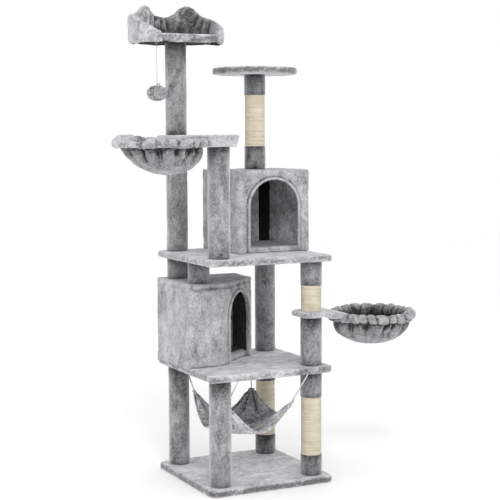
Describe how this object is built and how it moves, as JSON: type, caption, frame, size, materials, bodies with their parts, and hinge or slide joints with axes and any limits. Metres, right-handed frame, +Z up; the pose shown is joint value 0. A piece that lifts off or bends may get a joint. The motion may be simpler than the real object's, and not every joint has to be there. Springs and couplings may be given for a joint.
{
  "type": "cat tree",
  "caption": "Tall multi-level cat tree with plush-covered boards and posts, sisal scratching sections, arched houses, hanging baskets, a hammock, a backed perch and a pom-pom.",
  "frame": {"origin": "centre of the base board's underside", "axes": "+Z up, +X to the right along the front edge, +Y to the back"},
  "size_m": [1.2, 0.719, 1.7849],
  "materials": {
    "board_plush": "matte",
    "post_plush": "matte",
    "house_plush": "matte",
    "house_floor_plush": "matte",
    "house_lining": "matte",
    "basket_plush": "matte",
    "perch_plush": "matte",
    "hammock_plush": "matte",
    "pompom_plush": "matte",
    "sisal": "matte",
    "cardboard_tube": "matte",
    "ring_steel": "satin",
    "white_cord": "matte"
  },
  "bodies": {
    "root": {"base_board": "board_plush", "disc_post_lower_band": "post_plush", "disc_post_sisal_wrap": "sisal", "disc_post_tube": "cardboard_tube", "disc_post_upper_band": "post_plush", "left_basket_bowl": "basket_plush", "left_basket_ring": "ring_steel", "left_ledge_board": "board_plush", "lower_house_back_wall": "house_plush", "lower_house_door_wall": "house_plush", "lower_house_floor": "house_floor_plush", "lower_house_front_wall": "house_plush", "lower_house_left_wall": "house_plush", "lower_house_right_wall": "house_plush", "lower_house_roof": "house_plush", "lower_platform_board": "board_plush", "lower_post_front_left": "post_plush", "lower_post_front_right_lower_band": "post_plush", "lower_post_front_right_sisal_wrap": "sisal", "lower_post_front_right_tube": "cardboard_tube", "lower_post_front_right_upper_band": "post_plush", "lower_post_rear_left": "post_plush", "lower_post_rear_right_lower_band": "post_plush", "lower_post_rear_right_sisal_wrap": "sisal", "lower_post_rear_right_tube": "cardboard_tube", "lower_post_rear_right_upper_band": "post_plush", "middle_post_front_right": "post_plush", "middle_post_over_ledge_sisal_wrap": "sisal", "middle_post_over_ledge_tube": "cardboard_tube", "middle_post_over_ledge_upper_band": "post_plush", "middle_post_rear_right": "post_plush", "perch_back": "perch_plush", "perch_board": "board_plush", "perch_post": "post_plush", "right_ledge_stud": "ring_steel", "roof_post_front_left": "post_plush", "roof_post_rear_left": "post_plush", "top_disc_board": "board_plush", "upper_house_back_wall": "house_plush", "upper_house_corner_strip": "house_lining", "upper_house_door_wall": "house_plush", "upper_house_floor": "house_floor_plush", "upper_house_left_wall": "house_plush", "upper_house_right_wall": "house_plush", "upper_house_roof": "house_plush", "upper_platform_board": "board_plush", "upper_post_front_left": "post_plush", "upper_post_rear_left": "post_plush"},
    "hammock": {"hammock_cloth": "hammock_plush", "hammock_cord_front_left": "white_cord", "hammock_cord_front_right": "white_cord", "hammock_cord_rear_left": "white_cord", "hammock_cord_rear_right": "white_cord"},
    "right_basket": {"right_basket_bowl": "basket_plush", "right_basket_ring": "ring_steel", "right_ledge_board": "board_plush"},
    "toy_loop": {"toy_loop": "white_cord"},
    "toy": {"toy_pompom": "pompom_plush", "toy_string": "white_cord"}
  },
  "joints": [
    {"name": "toy_swing_fore", "type": "hinge", "parent": "root", "child": "toy_loop", "pos_m": [-0.3, 0.1, 1.6275], "axis": [1, 0, 0], "range_deg": [-40, 11]},
    {"name": "toy_swing_side", "type": "hinge", "parent": "toy_loop", "child": "toy", "pos_m": [-0.3, 0.1, 1.6275], "axis": [0, 1, 0], "range_deg": [-11, 40]},
    {"name": "right_ledge_swivel", "type": "hinge", "parent": "root", "child": "right_basket", "pos_m": [0.187, -0.187, 0.627], "axis": [0, 0, 1], "range_deg": [-100, 50]},
    {"name": "hammock_bounce", "type": "slide", "parent": "root", "child": "hammock", "axis": [0, 0, 1], "range_m": [-0.03, 0.012], "stiffness_N_per_m": 600, "springref_m": 0.0025, "deforming": ["hammock_cord_front_left", "hammock_cord_front_right", "hammock_cord_rear_left", "hammock_cord_rear_right"]}
  ]
}
